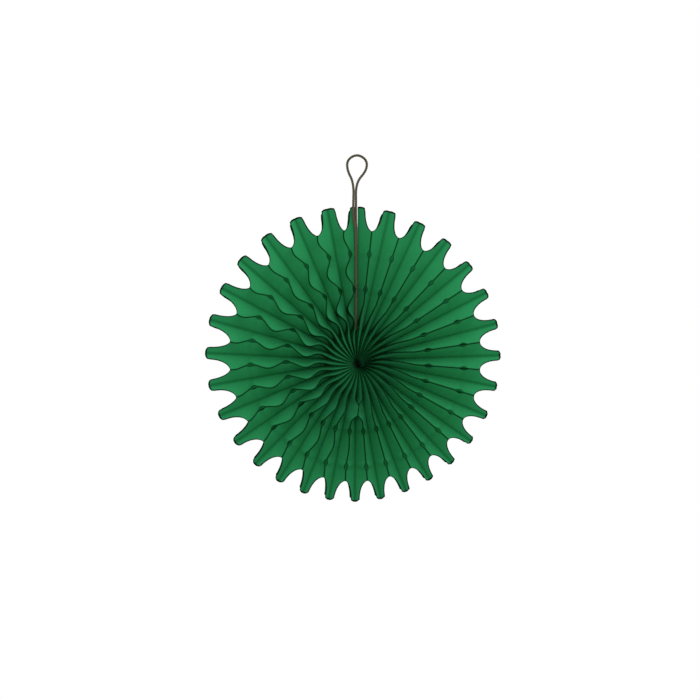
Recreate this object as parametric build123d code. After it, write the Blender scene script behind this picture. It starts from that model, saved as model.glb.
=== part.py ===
from build123d import *
from math import cos, exp, pi, radians, sin, tan
import os

# Driving dimensions, in millimetres and degrees

# The rim and the hub
tooth_count = 30          # teeth round the rim, the seam tooth being two halves
rim_radius = 165.0        # mean distance from the hub axis to the tooth tips
rim_shift = 7.5           # how much further out the tips stand towards stretch_angle
stretch_angle = 116.0     # direction in which the teeth stand out furthest and are longest and widest
tooth_length = 27.8       # mean length of a tooth, from the notches to its tip
tooth_stretch = 2.0       # how much longer the teeth are towards stretch_angle
hub_radius = 2.5          # open eye left by the inner ends of the sheets
hub_depth = 50.0          # front to back, beside the hub
rim_depth = 40.0          # front to back, at the notches
seam_angle = 90.0         # the two end sheets meet at the top
top_spread = 4.0          # how far the cells are drawn towards the bottom
seam_squeeze = 1.4        # how far the cells beside the seam are held together
strand_squeeze = 1.1      # how far the front strand of the cord holds in the cells to its left

# The sheets
sheet_thickness = 0.2     # drawn thickness of one tissue sheet with its glue
glue_width = 3.0          # glue strip along the middle of a pair of sheets
glue_line = 0.02          # space between two sheets at a glue spot

# The teeth
tip_width = 11.2          # mean width of a tooth at its tip
tip_spread = 3.2          # how much wider the teeth are towards stretch_angle
neck_growth = 1.5         # how much wider a tooth is where its flare begins
flare_share = 0.82        # share of the tooth length that the rounded flare above a notch takes up
cusp_share = 0.25         # how far the flares of two teeth meet in a point instead of a round
flare_steps = 3
tip_crown = 2.0           # how far the middle of a tip stands beyond its corners

# The glue spots along the edges, the open eyes between them, and the sway of the front edges
unglued_radius = 34.0     # inside this the front edges stand apart, evenly spaced
closing_length = 9.0      # over which they come together in pairs
first_eye_radius = 77.5   # first eye in front
back_eye_radius = 58.0    # first eye behind
eye_pitch = 39.0
eye_length = 9.0
eye_width = 3.4
sway_at_hub = 5.8         # reach of the wave, as if carried on to the hub axis
sway_at_notch = 1.8
sway_fade_radius = 50.0   # inside this the wave dies away towards the hub
swaying_crests = 14.6     # crests that sway, counted anticlockwise from the seam
sway_unevenness = 0.2

# The hanging cord, doubled, with both strands held between the two end sheets
cord_diameter = 3.0
cord_clearance = 0.25     # between the cord and each end sheet
strand_gap = 0.3          # between the two strands
cord_start = 33.0         # inner ends of the cord
strand_lift = 6.0         # how far in front it passes the tip of that half tooth
strand_lean = 0.8         # how far both strands lean to the left where the two part
loop_rise = 22.0          # height above the seam tooth at which the two strands part
loop_radius = 11.0        # room for a hook
loop_turn = 60.0          # turn of the cord at each corner of the loop's route
loop_taper = 19.0         # height over which the two strands part
loop_straight = 5.5       # upright run below the middle of the loop
run_share = 0.45          # share of a run that an arc of the cord may take up

# Values worked out from the driving dimensions
mean_notch = rim_radius - tooth_length
flare_length = flare_share * tooth_length
half_slit = cord_diameter / 2 + cord_clearance
strand_pitch = cord_diameter + strand_gap
seam_stretch = cos(radians(seam_angle - stretch_angle))
seam_tip = rim_radius + rim_shift * seam_stretch
seam_notch = seam_tip - tooth_length - tooth_stretch * seam_stretch
loop_foot = seam_tip + loop_rise
loop_centre = loop_foot + loop_taper + loop_straight
hub_height = -(loop_centre + loop_radius - cord_diameter / 2)
half_glue = glue_width / 2
glued_radius = unglued_radius + closing_length


def tooth_angle(tooth):
    """Direction of a tooth, counted anticlockwise from the seam."""
    even = 360 * tooth / tooth_count
    drawn = top_spread * sin(radians(even)) - seam_squeeze * sin(radians(2 * even))
    held = strand_squeeze * tooth * exp(1 - tooth)
    return seam_angle + even + drawn - held


def crest_angle(crest):
    """Direction of the crest between a tooth and the next one."""
    return (tooth_angle(crest) + tooth_angle(crest + 1)) / 2


def stretch(angle):
    """How far a direction lies towards stretch_angle: 1 along it, -1 opposite."""
    return cos(radians(angle - stretch_angle))


def tip_radius(angle):
    return rim_radius + rim_shift * stretch(angle)


def notch_radius(angle):
    return tip_radius(angle) - tooth_length - tooth_stretch * stretch(angle)


def polar(angle, radius, side, depth):
    """Point at a radius along a direction, moved sideways and in depth, front being negative."""
    along = radians(angle)
    x = radius * cos(along) - side * sin(along)
    z = radius * sin(along) + side * cos(along)
    return Vector(x, depth, hub_height + z)


def crest_depth(radius):
    """Half of the fan's depth at a radius: an ellipse from the hub to the notches."""
    loss = (hub_depth ** 2 - rim_depth ** 2) / 4
    return (hub_depth ** 2 / 4 - loss * (radius / mean_notch) ** 2) ** 0.5


def sways(crest):
    """Whether the front edges at a crest run in waves."""
    return crest < swaying_crests


def sway(crest, radius):
    """Sideways wave of a front crest: it swings one way at each eye and back between the eyes."""
    if not sways(crest):
        return 0.0
    share = (1 - (crest / swaying_crests) ** 4) * (1 + sway_unevenness * cos(pi / 2 * (crest - 1)))
    reach = sway_at_hub + (sway_at_notch - sway_at_hub) * radius / mean_notch
    fade = min(1.0, radius / sway_fade_radius) ** 3
    return -share * reach * fade * cos(2 * pi * (radius - first_eye_radius) / eye_pitch)


def eye_radii(face):
    """Radii of the eyes along a crest, in front or behind."""
    radii = []
    radius = first_eye_radius if face < 0 else back_eye_radius
    while radius + eye_length < mean_notch:
        radii.append(radius)
        radius += eye_pitch
    return radii


def opening(crest, radius, face):
    """Half width of the space between the two sheets at a crest, in front beside the hub and at each eye."""
    apart = 0.0
    if face < 0:
        step = radians(tooth_angle(crest + 1) - tooth_angle(crest))
        even = min(radius, unglued_radius) * step / 4 - sheet_thickness / 2
        closed = max(0.0, (radius - unglued_radius) / closing_length)
        apart = max(0.0, even * (1 - closed))
    for eye in eye_radii(face):
        apart = max(apart, eye_width / 2 * (1 - abs(radius - eye) / (eye_length / 2)))
    return apart


def crest_stations(waved, face, notch):
    """Radii at which a crest edge has its points, from the hub to the notch."""
    stations = [hub_radius, cord_start, unglued_radius, glued_radius, notch]
    eyes = eye_radii(face)
    for eye in eyes:
        stations += [eye - eye_length / 2, eye, eye + eye_length / 2]
        if waved:
            stations += [eye - eye_pitch * 2 / 3, eye - eye_pitch / 3]
    if waved:
        last_spot = (eyes[-1] + eye_length / 2 + notch) / 2
        stations.append(last_spot)
    return sorted(set(stations))


def mid_line(tooth, hub_side, side, depth):
    """Line along the middle of a tooth, as (station, point) pairs from the hub to the tip."""
    angle = tooth_angle(tooth)
    beyond_hub = [cord_start, glued_radius, *eye_radii(-1), notch_radius(angle), tip_radius(angle)]
    line = [(hub_radius, polar(angle, hub_radius, hub_side, depth))]
    return line + [(radius, polar(angle, radius, side, depth)) for radius in beyond_hub]


def sheet_edge(tooth, hand, face, mid_side, mid_depth):
    """Outer edge of one arm of a sheet, along its crest and round its half of the tooth.

    hand is 1 for the anticlockwise arm and -1 for the clockwise one, face is -1 in front and 1 behind.
    Gives the inner and the outer corner line of the cut edge as (station, point) pairs.
    """
    crest = tooth if hand > 0 else tooth - 1
    waved = face < 0 and sways(crest)
    angle = tooth_angle(tooth)
    lean = radians(crest_angle(crest) - angle)
    notch = notch_radius(crest_angle(crest))
    inner = []
    outer = []

    def add(station, distance, side, depth):
        inner.append((station, polar(angle, distance, side - hand * sheet_thickness, face * depth)))
        outer.append((station, polar(angle, distance, side, face * depth)))

    for radius in crest_stations(waved, face, notch):
        offset = sway(crest, radius) if waved else 0.0
        offset -= hand * (glue_line / 2 + opening(crest, radius, face))
        distance = radius * cos(lean) - offset * sin(lean)
        side = radius * sin(lean) + offset * cos(lean)
        add(radius, distance, side, crest_depth(radius))

    reach = side - mid_side
    rise_in_depth = crest_depth(notch) - mid_depth
    tip_share = (tip_width + tip_spread * stretch(angle)) / 2 / abs(reach)
    neck_share = tip_share + neck_growth / 2 / abs(reach)
    for step in range(1, flare_steps + 1):
        turn = pi / 2 * step / flare_steps
        share = 1 - (1 - neck_share) * sin(turn)
        rounded = 1 - cos(turn)
        rise = flare_length * (rounded + cusp_share * (step / flare_steps - rounded))
        add(notch + rise, distance + rise, mid_side + share * reach, mid_depth + share * rise_in_depth)
    corner = tip_radius(angle) - tip_crown
    add(corner, corner, mid_side + tip_share * reach, mid_depth + tip_share * rise_in_depth)
    return inner, outer


def triangle(first, second, third):
    return Face(Wire.make_polygon([first, second, third]))


def strip(first, second):
    """Facets between two lines of (station, point) pairs, each facet across the shorter of two diagonals."""
    facets = []
    i = 0
    j = 0
    while i + 1 < len(first) or j + 1 < len(second):
        if i + 1 == len(first):
            step_first = False
        elif j + 1 == len(second):
            step_first = True
        else:
            step_first = first[i + 1][0] - second[j][0] <= second[j + 1][0] - first[i][0]
        if step_first:
            facets.append(triangle(first[i][1], first[i + 1][1], second[j][1]))
            i += 1
        else:
            facets.append(triangle(first[i][1], second[j + 1][1], second[j][1]))
            j += 1
    return facets


def end_facets(ring):
    """Two facets across four lines, at both of their ends."""
    facets = []
    for place in (0, -1):
        first, second, third, fourth = [line[place][1] for line in ring]
        facets.append(triangle(first, second, third))
        facets.append(triangle(first, third, fourth))
    return facets


def arm_facets(inner_mid, inner, outer, outer_mid):
    """All facets of one arm: its two faces, its cut edge and its two ends."""
    faces = strip(inner, inner_mid) + strip(inner, outer) + strip(outer, outer_mid)
    return faces + end_facets([inner_mid, inner, outer, outer_mid])


def faceted_solid(facets):
    return Solid(Shell(facets))


def tissue_leaf(tooth):
    """Two flat sheets glued along their middle and drawn apart at both edges, as an X in section."""
    valleys = {face: mid_line(tooth, 0, 0, face * half_glue) for face in (-1, 1)}
    facets = []
    for hand in (-1, 1):
        flank_side = hand * sheet_thickness
        flanks = {face: mid_line(tooth, flank_side, flank_side, face * half_glue) for face in (-1, 1)}
        facets += strip(flanks[-1], flanks[1])
        facets += end_facets([valleys[-1], flanks[-1], flanks[1], valleys[1]])
        for face in (-1, 1):
            inner, outer = sheet_edge(tooth, hand, face, flank_side, half_glue)
            facets += arm_facets(valleys[face], inner, outer, flanks[face])
    return faceted_solid(facets)


def end_sheet(tooth, hand):
    """The single sheet at one end of the fan, with half of the seam tooth, beside the cord."""
    hub_side = hand * glue_line / 2
    slit_side = hand * half_slit
    wall = hand * sheet_thickness
    slit_line = mid_line(tooth, hub_side, slit_side, 0)
    flank = mid_line(tooth, hub_side + wall, slit_side + wall, 0)
    facets = []
    for face in (-1, 1):
        inner, outer = sheet_edge(tooth, hand, face, slit_side + wall, 0)
        facets += arm_facets(slit_line, inner, outer, flank)
    return faceted_solid(facets)


def route_radii(points):
    """The largest arc that each corner of a route allows."""
    radii = []
    for before, corner, after in zip(points, points[1:], points[2:]):
        turn = radians((corner - before).get_angle(after - corner))
        run = min((corner - before).length, (after - corner).length)
        radii.append(run_share * run / tan(turn / 2))
    return radii


def hanging_cord():
    """One doubled cord: up the seam, round the loop, past the left half tooth and down the seam again."""
    corner = loop_radius * tan(radians(loop_turn / 2))
    peak = loop_radius / cos(radians(loop_turn / 2))
    taper_top = loop_foot + loop_taper
    route = [
        (0, 0, cord_start),
        (0, 0, seam_tip),
        (-strand_lean, 0, loop_foot),
        (loop_radius, 0, taper_top),
        (loop_radius, 0, loop_centre + corner),
        (0, 0, loop_centre + peak),
        (-loop_radius, 0, loop_centre + corner),
        (-loop_radius, 0, taper_top),
        (-strand_pitch - strand_lean, 0, loop_foot),
        (-strand_pitch, -strand_lift, seam_tip),
        (0, -strand_pitch, seam_notch),
        (0, -strand_pitch, cord_start),
    ]
    points = [Vector(x, depth, hub_height + height) for x, depth, height in route]
    radii = route_radii(points)
    print("cord radii", [round(radius, 2) for radius in radii])
    path = FilletPolyline(*points, radius=radii)
    print("cord length", round(path.length, 1))
    section = Plane(origin=points[0], z_dir=points[1] - points[0]) * Circle(cord_diameter / 2)
    return sweep(section, path=path)


os.makedirs("parts", exist_ok=True)
for tooth in range(1, tooth_count):
    export_step(tissue_leaf(tooth), f"parts/tissue_leaf_{tooth:02d}.step")
export_step(end_sheet(0, 1), "parts/end_sheet_left.step")
export_step(end_sheet(tooth_count, -1), "parts/end_sheet_right.step")
export_step(hanging_cord(), "parts/hanging_cord.step")
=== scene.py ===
import bpy
import numpy as np
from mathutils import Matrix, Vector


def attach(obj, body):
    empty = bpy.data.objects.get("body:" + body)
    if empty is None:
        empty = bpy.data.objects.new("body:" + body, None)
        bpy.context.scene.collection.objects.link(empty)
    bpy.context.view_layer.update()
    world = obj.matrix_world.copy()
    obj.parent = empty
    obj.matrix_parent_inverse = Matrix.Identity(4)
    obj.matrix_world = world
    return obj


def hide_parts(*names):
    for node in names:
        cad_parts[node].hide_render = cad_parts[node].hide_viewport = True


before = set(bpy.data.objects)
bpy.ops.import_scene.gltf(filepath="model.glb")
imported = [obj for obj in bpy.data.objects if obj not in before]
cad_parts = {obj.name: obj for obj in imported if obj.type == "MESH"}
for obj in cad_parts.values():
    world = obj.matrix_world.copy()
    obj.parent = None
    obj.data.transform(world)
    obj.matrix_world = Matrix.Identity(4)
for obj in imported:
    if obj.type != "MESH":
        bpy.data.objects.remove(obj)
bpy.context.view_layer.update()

# The tissue sheets of the fan
# Die-cut sheets of thin dyed tissue paper. Pairs are glued along their middle, neighbours are glued in spots
# along their front and rear edges, and the stack is fanned round until its two end sheets meet at the top.
MM = 0.001
tooth_count = 30
rim_radius = 165 * MM
rim_shift = 7.5 * MM
stretch_angle = np.radians(116)
tooth_length = 27.8 * MM
tooth_stretch = 2 * MM
mean_notch = rim_radius - tooth_length
hub_eye = 0.5 * MM
hub_sag = 4.6 * MM
sag_reach = 20 * MM
hub_lean = np.radians(8)
lean_start = 62 * MM
lean_full = 12 * MM
line_radius = 40 * MM
hub_depth = 50 * MM
rim_depth = 40 * MM
seam_angle = np.radians(90)
top_spread = np.radians(4.0)
seam_squeeze = np.radians(1.4)
strand_squeeze = np.radians(1.1)
sheet_thickness = 0.2 * MM
half_glue = 1.5 * MM
crest_steps = 95
flare_steps = 14
tooth_steps = 8
column_places = np.array([0, 0.03, 0.08, 0.16, 0.26, 0.38, 0.5, 0.62, 0.74, 0.84, 0.92, 0.97, 1])
tip_width = 11.2 * MM
tip_spread = 3.2 * MM
neck_growth = 1.5 * MM
flare_length = 0.82 * tooth_length
cusp_share = 0.25
tip_crown = 3.2 * MM
unglued_radius = 34 * MM
unglued_share = 0.3
closing_length = 9 * MM
front_eye_radius = 77.5 * MM
rear_eye_radius = 58 * MM
eye_pitch = 39 * MM
eye_length = 11 * MM
eye_width = 3.4 * MM
sway_at_hub = 5.8 * MM
sway_at_notch = 2.6 * MM
sway_fade_radius = 50 * MM
swaying_crests = 14.6
sway_unevenness = 0.2
pinched_tooth = 15
pinch_radius = 54 * MM
pinch_length = 28 * MM
pinch_flatness = 1.5
cord_diameter = 3 * MM
cord_start = 33 * MM
slit_start = cord_start + 1.5 * MM
slit_opening = 1.5 * MM
sheet_press = 0.4 * MM
half_slit = cord_diameter / 2 - sheet_press
seam_stretch = np.cos(seam_angle - stretch_angle)
seam_tip = rim_radius + rim_shift * seam_stretch
seam_notch = seam_tip - tooth_length - tooth_stretch * seam_stretch
loop_foot = seam_tip + 22 * MM
loop_taper = 19 * MM
loop_straight = 5.5 * MM
loop_radius = 11 * MM
loop_centre = loop_foot + loop_taper + loop_straight
hub_height = -(loop_centre + loop_radius - cord_diameter / 2)


def tooth_angle(tooth):
    """Even steps from the seam, drawn towards the bottom by a sine.

    A second sine and a fading term hold the teeth together beside the seam and the cord.
    """
    even = 2 * np.pi * tooth / tooth_count
    drawn = top_spread * np.sin(even) - seam_squeeze * np.sin(2 * even)
    return seam_angle + even + drawn - strand_squeeze * tooth * np.exp(1 - tooth)


def crest_depth(radius):
    """Half of the depth: an ellipse from the hub to the notches."""
    loss = (hub_depth ** 2 - rim_depth ** 2) / 4
    return np.sqrt(hub_depth ** 2 / 4 - loss * (radius / mean_notch) ** 2)


def crest_offset(crest, radius, face):
    """Sideways wave of a front crest: a cosine that reaches less towards the notch and fades out at the hub.

    Its share dies away with the fourth power of the crest's number. The two crests of the pinched tooth come
    together over a short stretch, by a squared cosine that is cut off flat.
    """
    offset = np.zeros_like(radius)
    if face < 0 and crest < swaying_crests:
        share = (1 - (crest / swaying_crests) ** 4) * (1 + sway_unevenness * np.cos(np.pi / 2 * (crest - 1)))
        reach = sway_at_hub + (sway_at_notch - sway_at_hub) * radius / mean_notch
        fade = np.minimum(1, radius / sway_fade_radius) ** 3
        offset -= share * reach * fade * np.cos(2 * np.pi * (radius - front_eye_radius) / eye_pitch)
    if face < 0 and crest in (pinched_tooth - 1, pinched_tooth):
        bump = np.cos(np.pi / 2 * np.clip((radius - pinch_radius) / pinch_length * 2, -1, 1)) ** 2
        half_pitch = (tooth_angle(crest + 1) - tooth_angle(crest)) / 2
        inwards = 1 if crest < pinched_tooth else -1
        offset += inwards * np.minimum(1, pinch_flatness * bump) * radius * half_pitch
    return offset


def crest_opening(crest, radius, face):
    """Half of the space between two sheets at a crest.

    In front beside the hub it is a share of the pitch, which closes evenly outside the unglued radius.
    At each eye it is a squared cosine.
    """
    apart = np.zeros_like(radius)
    if face < 0:
        step = tooth_angle(crest + 1) - tooth_angle(crest)
        apart = np.maximum(0, np.minimum(radius, unglued_radius) * step / 4 - sheet_thickness / 2)
        apart *= unglued_share * np.clip((unglued_radius + closing_length - radius) / closing_length, 0, 1)
    first = front_eye_radius if face < 0 else rear_eye_radius
    for eye in np.arange(first, mean_notch - eye_length, eye_pitch):
        lens = np.cos(np.pi / 2 * np.clip((radius - eye) / eye_length * 2, -1, 1)) ** 2
        apart = np.maximum(apart, eye_width / 2 * lens)
    return apart


def arm_grid(tooth, hand, face, mid_side, mid_depth):
    """One arm of a sheet as a grid: rows from the hub to the tip, columns from the middle to the cut edge.

    Hand 1 is the side of the next tooth and -1 that of the tooth before. Face -1 is the front and 1 the rear.
    The edge follows the crest, then a pointed quarter ellipse up to the tooth's neck, then the tooth's side.
    A row runs evenly from the middle to the edge in width and depth, and as a parabola along the tooth, which
    rounds the tip. The front edges sag and lean over beside the hub.

    Gives the points, and their distances from the crest as seen from the front, which count for more beside
    the hub, from the rim, from the glued middle and from the hub.
    """
    crest = tooth if hand > 0 else tooth - 1
    angle = tooth_angle(tooth)
    crest_angle = (tooth_angle(crest) + tooth_angle(crest + 1)) / 2
    lean = crest_angle - angle
    stretch = np.cos(angle - stretch_angle)
    notch_stretch = np.cos(crest_angle - stretch_angle)
    notch = mean_notch + (rim_shift - tooth_stretch) * notch_stretch
    radius = np.linspace(hub_eye, notch, crest_steps + 1)
    offset = crest_offset(crest, radius, face)
    offset -= hand * crest_opening(crest, radius, face)
    distance = radius * np.cos(lean) - offset * np.sin(lean)
    side = radius * np.sin(lean) + offset * np.cos(lean)
    depth = crest_depth(radius)

    reach = side[-1] - mid_side
    rise_in_depth = depth[-1] - mid_depth
    tip = rim_radius + rim_shift * stretch
    tip_share = (tip_width + tip_spread * stretch) / 2 / abs(reach)
    neck_share = tip_share + neck_growth / 2 / abs(reach)
    turn = np.linspace(0, np.pi / 2, flare_steps + 1)[1:]
    rounded = 1 - np.cos(turn)
    flare_rise = flare_length * (rounded + cusp_share * (turn / (np.pi / 2) - rounded))
    flare_share = 1 - (1 - neck_share) * np.sin(turn)
    corner_rise = tip - tip_crown - distance[-1]
    along_tooth = np.linspace(0, 1, tooth_steps + 1)[1:]
    rise = np.concatenate([flare_rise, flare_length + (corner_rise - flare_length) * along_tooth])
    share = np.concatenate([flare_share, neck_share + (tip_share - neck_share) * along_tooth])

    mid_distance = np.concatenate([radius, notch + rise / corner_rise * (tip - notch)])
    distance = np.concatenate([distance, distance[-1] + rise])
    side = np.concatenate([side, mid_side + share * reach])
    depth = np.concatenate([depth, mid_depth + share * rise_in_depth])
    mid_line = mid_side * np.clip((mid_distance - slit_start) / slit_opening, 0, 1)

    rows = (slice(None), None)
    grid_distance = mid_distance[rows] + (distance - mid_distance)[rows] * column_places ** 2
    grid_side = mid_line[rows] + (side - mid_line)[rows] * column_places
    grid_depth = face * (mid_depth + (depth - mid_depth)[rows] * column_places)
    forward = np.clip(-grid_depth / hub_depth * 2, 0, 1)
    near_hub = np.clip((lean_start - grid_distance) / (lean_start - lean_full), 0, 1)
    turned = angle + hub_lean * forward ** 3 * near_hub
    x = grid_distance * np.cos(turned) - grid_side * np.sin(turned)
    z = grid_distance * np.sin(turned) + grid_side * np.cos(turned)
    z -= hub_sag * forward * np.exp(-(grid_distance / sag_reach) ** 2)
    points = np.stack([x, grid_depth, z + hub_height], axis=-1)
    width = np.hypot(side - mid_line, depth - mid_depth)[rows]
    # The crest distance sets the painted shade line along the crests. Scaled up beside the hub, it keeps that
    # line thin where the sheets crowd.
    from_crest = np.hypot(x - x[:, -1:], z - z[:, -1:]) * np.maximum(1, line_radius / grid_distance)
    on_crest = np.clip((notch - mid_distance) / flare_length, 0, 1)[rows]
    from_rim = np.minimum(width * (1 - column_places) + on_crest * tooth_length, (tip - mid_distance)[rows])
    return points, from_crest, from_rim, width * column_places, grid_distance


def sheet_grid(tooth, hand, mid_side, mid_depth):
    """A whole sheet with columns from its front edge to its rear edge.

    The front arm comes first, turned round, and then the rear arm. A sheet folded at its very middle has one
    column there.
    """
    front = arm_grid(tooth, hand, -1, mid_side, mid_depth)
    rear = arm_grid(tooth, hand, 1, mid_side, mid_depth)
    first = 0 if mid_depth else 1
    layers = zip(front, rear)
    return [np.concatenate([ahead[:, ::-1], behind[:, first:]], axis=1) for ahead, behind in layers]


def sheets_object(name, grids):
    """A mesh of sheet grids, with crest, rim, fold and hub distances as attributes.

    The hub and fold distances are also its UV. A face joins a grid point, the next point of its row, and the
    two below them in the next row.
    """
    points = np.concatenate([grid[0].reshape(-1, 3) for grid in grids])
    crest, rim, fold, hub = [np.concatenate([grid[layer].ravel() for grid in grids]) for layer in range(1, 5)]
    quads = np.empty((0, 4), int)
    start = 0
    for grid in grids:
        rows, columns = grid[0].shape[:2]
        corner = start + (np.arange(rows - 1)[:, None] * columns + np.arange(columns - 1)).ravel()
        below = corner + columns
        quads = np.vstack([quads, np.stack([corner, corner + 1, below + 1, below], axis=1)])
        start += rows * columns
    mesh = bpy.data.meshes.new(name)
    mesh.from_pydata(points, [], quads)
    mesh.polygons.foreach_set("use_smooth", np.ones(len(quads), bool))
    for label, values in (("crest", crest), ("rim", rim), ("fold", fold), ("hub", hub)):
        layer = mesh.attributes.new(label + "_distance", "FLOAT", "POINT")
        layer.data.foreach_set("value", values.astype(np.float32))
    flat = np.stack([hub, fold], axis=1)[quads.ravel()]
    mesh.uv_layers.new(name="sheet").uv.foreach_set("vector", flat.ravel().astype(np.float32))
    piece = bpy.data.objects.new(name, mesh)
    bpy.context.scene.collection.objects.link(piece)
    return piece


# Widths of the darker bands: the fold's glue stain with painted valley shade, the painted shade along the
# crests, the darker cut rim, and the painted shade at the hub.
fold_fade = 5 * MM
crest_line = 0.25 * MM
crest_fade = 1.25 * MM
rim_line = 1.3 * MM
rim_fade = 2.6 * MM
hub_spot = 2 * MM
hub_fade = 7 * MM
deep_dye = (0.026, 0.343, 0.1176, 1)
light_dye = (0.047, 0.4312, 0.1666, 1)
fibre_green = (0.0235, 0.3038, 0.1009, 1)
# The fold colour is partly the glue stain of the glued middle and partly painted shade in the valley beside
# it.
fold_glue_and_shade = (0.0175, 0.25, 0.08, 1)
# The crest colour is painted shade: a dark line in the gap where the sheets' edges meet at the crests.
crest_painted_shade = (0.003, 0.055, 0.015, 1)
rim_green = (0.0005, 0.006, 0.002, 1)
# The hub colour is painted shade: a dark spot round the axis, where the deep folds crowd together.
hub_painted_shade = (0.012, 0.035, 0.019, 1)
fibres_along = 250
fibres_across = 1400
light_passed = 0.5
tissue = bpy.data.materials.new("green_tissue")
tissue.use_nodes = True
paper_tree = tissue.node_tree
nodes = paper_tree.nodes
links = paper_tree.links
paper = nodes["Principled BSDF"]
paper.inputs["Roughness"].default_value = 0.9
paper.inputs["Specular IOR Level"].default_value = 0.1


def distance_mask(tree, attribute, full, reach):
    """One up to the full distance from the line that the attribute measures from, zero from the reach on."""
    source = tree.nodes.new("ShaderNodeAttribute")
    source.attribute_name = attribute
    fall = tree.nodes.new("ShaderNodeMapRange")
    fall.interpolation_type = "SMOOTHSTEP"
    fall.inputs["From Min"].default_value = full
    fall.inputs["From Max"].default_value = reach
    fall.inputs["To Min"].default_value = 1
    fall.inputs["To Max"].default_value = 0
    tree.links.new(source.outputs["Fac"], fall.inputs["Value"])
    return fall.outputs["Result"]


def mixed(tree, factor, first, second):
    """A mix of two colours, each a socket or a plain colour."""
    mix = tree.nodes.new("ShaderNodeMix")
    mix.data_type = "RGBA"
    tree.links.new(factor, mix.inputs["Factor"])
    for socket, value in ((mix.inputs["A"], first), (mix.inputs["B"], second)):
        if isinstance(value, tuple):
            socket.default_value = value
        else:
            tree.links.new(value, socket)
    return mix.outputs["Result"]


sheet_uv = nodes.new("ShaderNodeUVMap")
sheet_uv.uv_map = "sheet"
fibre_scale = nodes.new("ShaderNodeVectorMath")
fibre_scale.operation = "MULTIPLY"
fibre_scale.inputs[1].default_value = (fibres_along, fibres_across, 1)
links.new(sheet_uv.outputs["UV"], fibre_scale.inputs[0])
fibre = nodes.new("ShaderNodeTexNoise")
fibre.inputs["Scale"].default_value = 1
fibre.inputs["Detail"].default_value = 3
links.new(fibre_scale.outputs["Vector"], fibre.inputs["Vector"])
place = nodes.new("ShaderNodeTexCoord")
cloud = nodes.new("ShaderNodeTexNoise")
cloud.inputs["Scale"].default_value = 60
cloud.inputs["Detail"].default_value = 2
links.new(place.outputs["Object"], cloud.inputs["Vector"])
dyed = mixed(paper_tree, cloud.outputs["Fac"], deep_dye, light_dye)
tissue_colour = mixed(paper_tree, fibre.outputs["Fac"], fibre_green, dyed)
# The glued fold is darker, partly from its glue stain and partly from painted shade in the valley beside it.
# Painted shade darkens the crest lines where the sheets meet and the crowded hub, and the cut rim is darker
# than the open tissue.
for attribute, full, reach, colour in (
    ("fold_distance", 0, fold_fade, fold_glue_and_shade),
    ("crest_distance", crest_line, crest_fade, crest_painted_shade),
    ("rim_distance", rim_line, rim_fade, rim_green),
    ("hub_distance", hub_spot, hub_fade, hub_painted_shade),
):
    near_line = distance_mask(paper_tree, attribute, full, reach)
    tissue_colour = mixed(paper_tree, near_line, tissue_colour, colour)
links.new(tissue_colour, paper.inputs["Base Color"])
grain = nodes.new("ShaderNodeBump")
grain.inputs["Strength"].default_value = 0.15
grain.inputs["Distance"].default_value = 0.2 * MM
links.new(fibre.outputs["Fac"], grain.inputs["Height"])
links.new(grain.outputs["Normal"], paper.inputs["Normal"])
glow = nodes.new("ShaderNodeBsdfTranslucent")
links.new(tissue_colour, glow.inputs["Color"])
through = nodes.new("ShaderNodeMixShader")
through.inputs["Fac"].default_value = light_passed
links.new(paper.outputs["BSDF"], through.inputs[1])
links.new(glow.outputs["BSDF"], through.inputs[2])
links.new(through.outputs["Shader"], nodes["Material Output"].inputs["Surface"])

for tooth in range(1, tooth_count):
    label = f"tissue_leaf_{tooth:02d}"
    whole_sheet = sheet_grid(tooth, 1, 0, half_glue)
    glued_arms = [arm_grid(tooth, -1, face, 0, half_glue) for face in (-1, 1)]
    leaf = sheets_object("visual_" + label, [whole_sheet, *glued_arms])
    leaf.data.materials.append(tissue)
    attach(leaf, "root")
    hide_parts(label)

for label, tooth, hand in (("end_sheet_left", 0, 1), ("end_sheet_right", tooth_count, -1)):
    grid = sheet_grid(tooth, hand, hand * half_slit, 0)
    end_sheet = sheets_object("visual_" + label, [grid])
    end_sheet.data.materials.append(tissue)
    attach(end_sheet, "root")
    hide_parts(label)

# The hanging cord
# One brown twine of three plies, doubled. Both ends are held between the two end sheets.
# It comes up the seam, makes a loop for a hook, and goes down past the left half tooth into the seam again.
strand_pitch = cord_diameter + 0.5 * MM
touching_pitch = 0.8 * cord_diameter
strands_part = loop_foot + 5 * MM
front_lift = 10 * MM
rear_lift = 4.5 * MM
strand_lean = 1.2 * MM
lean_length = 15 * MM
ply_count = 3
ply_radius = 0.74 * MM
ply_offset = cord_diameter / 2 - ply_radius
lay_length = 7 * MM
ply_stations = 700
ply_sides = 8
dark_yarn = (0.02, 0.017, 0.008, 1)
light_yarn = (0.1, 0.085, 0.042, 1)
half_turn = np.radians(30)
corner_height = loop_centre + loop_radius * np.tan(half_turn)
taper_top = loop_foot + loop_taper
route = np.array([
    (0, 0, cord_start),
    (0, 0, seam_notch),
    (-strand_lean, -rear_lift, seam_tip - lean_length),
    (-strand_lean, -rear_lift, seam_tip),
    (-strand_lean, 0, strands_part),
    (loop_radius, 0, taper_top),
    (loop_radius, 0, corner_height),
    (0, 0, loop_centre + loop_radius / np.cos(half_turn)),
    (-loop_radius, 0, corner_height),
    (-loop_radius, 0, taper_top),
    (-touching_pitch - strand_lean, 0, strands_part),
    (-strand_pitch - strand_lean, -front_lift, seam_tip),
    (-strand_pitch - strand_lean, -front_lift, seam_tip - lean_length),
    (0, -cord_diameter, seam_notch),
    (0, -cord_diameter, cord_start),
]) + (0, 0, hub_height)
route_curve = bpy.data.curves.new("cord_route", "CURVE")
route_curve.dimensions = "3D"
spline = route_curve.splines.new("NURBS")
spline.points.add(len(route) - 1)
spline.points.foreach_set("co", np.column_stack([route, np.ones(len(route))]).ravel())
spline.order_u = 3
spline.use_endpoint_u = True
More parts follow.
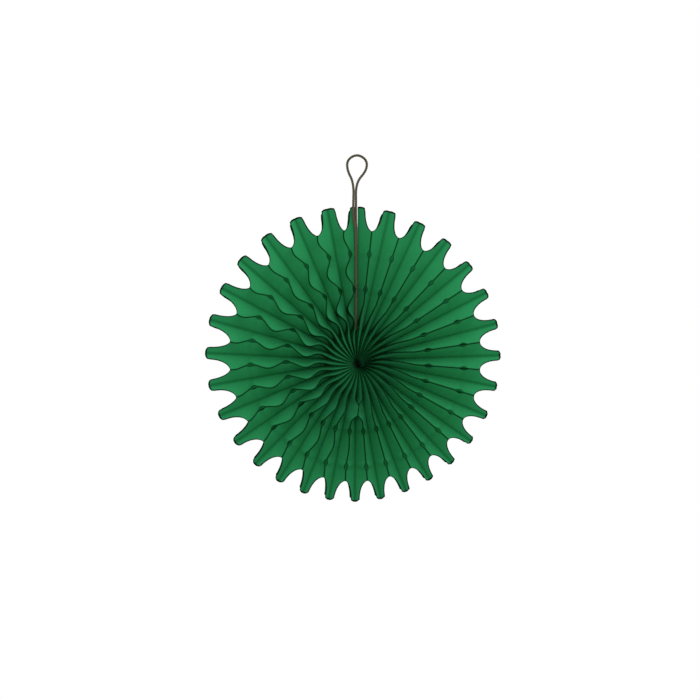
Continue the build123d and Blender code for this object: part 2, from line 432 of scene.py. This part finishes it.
spline.resolution_u = 40
route_line = bpy.data.meshes.new_from_object(bpy.data.objects.new("cord_route", route_curve))
line = np.zeros(len(route_line.vertices) * 3)
route_line.vertices.foreach_get("co", line)
line = line.reshape(-1, 3)


def twisted_plies(line):
    """Plies round a line: each ply's centre turns round it once per lay length, inside a ring of points.

    The frame at a point of the line is its tangent, the tangent's cross product with the depth axis,
    and the cross product of those two. Gives even points of the line, and the rings of each ply.
    """
    steps = np.linalg.norm(np.diff(line, axis=0), axis=1)
    travelled = np.concatenate([[0], np.cumsum(steps)])
    stations = np.linspace(0, travelled[-1], ply_stations)
    centre = np.stack([np.interp(stations, travelled, line[:, axis]) for axis in range(3)], axis=1)
    tangent = np.gradient(centre, axis=0)
    tangent /= np.linalg.norm(tangent, axis=1)[:, None]
    across = np.cross(tangent, (0, 1, 0))
    across /= np.linalg.norm(across, axis=1)[:, None]
    up = np.cross(across, tangent)
    plies = []
    ring = np.linspace(0, 2 * np.pi, ply_sides + 1)[:-1]
    for ply in range(ply_count):
        phase = 2 * np.pi * (stations / lay_length + ply / ply_count)
        ply_centre = centre + ply_offset * (np.cos(phase)[:, None] * across + np.sin(phase)[:, None] * up)
        wall = ply_radius * (np.cos(ring)[:, None] * across[:, None] + np.sin(ring)[:, None] * up[:, None])
        plies.append(ply_centre[:, None] + wall)
    return centre, plies


centre_line, plies = twisted_plies(line)
rows, columns = plies[0].shape[:2]
row_start = np.arange(rows - 1)[:, None] * columns
here = row_start + np.arange(columns)
beside = row_start + (np.arange(columns) + 1) % columns
walls = np.stack([here, beside, beside + columns, here + columns], axis=-1).reshape(-1, 4)
cord_mesh = bpy.data.meshes.new("visual_hanging_cord")
cord_faces = np.concatenate([walls + ply * rows * columns for ply in range(ply_count)])
cord_mesh.from_pydata(np.concatenate([ply.reshape(-1, 3) for ply in plies]), [], cord_faces)
cord_mesh.polygons.foreach_set("use_smooth", np.ones(len(cord_faces), bool))
cord = bpy.data.objects.new("visual_hanging_cord", cord_mesh)
bpy.context.scene.collection.objects.link(cord)

twine = bpy.data.materials.new("brown_twine")
twine.use_nodes = True
yarn_tree = twine.node_tree
yarn = yarn_tree.nodes["Principled BSDF"]
yarn.inputs["Roughness"].default_value = 0.85
yarn_place = yarn_tree.nodes.new("ShaderNodeTexCoord")
hairs = yarn_tree.nodes.new("ShaderNodeTexNoise")
hairs.inputs["Scale"].default_value = 2500
yarn_tree.links.new(yarn_place.outputs["Object"], hairs.inputs["Vector"])
yarn_colour = mixed(yarn_tree, hairs.outputs["Fac"], dark_yarn, light_yarn)
yarn_tree.links.new(yarn_colour, yarn.inputs["Base Color"])
cord.data.materials.append(twine)
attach(cord, "root")
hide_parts("hanging_cord")

# Light and camera
# Soft light comes from above and a little from the right, and a low lamp in front lights the folds beside
# the hub. The room is white. The camera stands at the hub's height, to its left, as in the photograph.
def soft_lamp(name, size, energy, location):
    """A round area lamp that points at the hub and is not seen itself."""
    light = bpy.data.lights.new(name, "AREA")
    light.shape = "DISK"
    light.size = size
    light.energy = energy
    lamp = bpy.data.objects.new(name, light)
    lamp.location = location
    lamp.rotation_euler = (Vector((0, 0, hub_height)) - lamp.location).to_track_quat("-Z", "Y").to_euler()
    lamp.visible_camera = False
    bpy.context.scene.collection.objects.link(lamp)


soft_lamp("key", size=1.0, energy=6.5, location=(0.25, -0.75, hub_height + 0.95))
soft_lamp("fill", size=0.35, energy=1.8, location=(0, -0.42, hub_height + 0.04))

world = bpy.data.worlds.new("white_room")
bpy.context.scene.world = world
world.use_nodes = True
room = world.node_tree
seen = room.nodes.new("ShaderNodeLightPath")
white = room.nodes.new("ShaderNodeBackground")
white.inputs["Strength"].default_value = 1.0
white.inputs["Color"].default_value = (1, 1, 1, 1)
ambient = room.nodes["Background"]
ambient.inputs["Color"].default_value = (1, 1, 1, 1)
ambient.inputs["Strength"].default_value = 0.4
choice = room.nodes.new("ShaderNodeMixShader")
room.links.new(seen.outputs["Is Camera Ray"], choice.inputs["Fac"])
room.links.new(ambient.outputs["Background"], choice.inputs[1])
room.links.new(white.outputs["Background"], choice.inputs[2])
room.links.new(choice.outputs["Shader"], room.nodes["World Output"].inputs["Surface"])
bpy.context.scene.view_settings.view_transform = "Standard"

picture_width = 0.784
camera_distance = 0.78
camera_side = -0.070
picture_centre = (-0.0062, 0.0109)
camera_roll = np.radians(-0.42)
lens = bpy.data.cameras.new("camera")
lens.sensor_width = 36
lens.lens = lens.sensor_width * camera_distance / picture_width
lens.shift_x = (picture_centre[0] - camera_side) / picture_width
lens.shift_y = picture_centre[1] / picture_width
camera = bpy.data.objects.new("camera", lens)
camera.location = (camera_side, -camera_distance, hub_height)
camera.rotation_euler = (np.radians(90), camera_roll, 0)
bpy.context.scene.collection.objects.link(camera)
bpy.context.scene.camera = camera
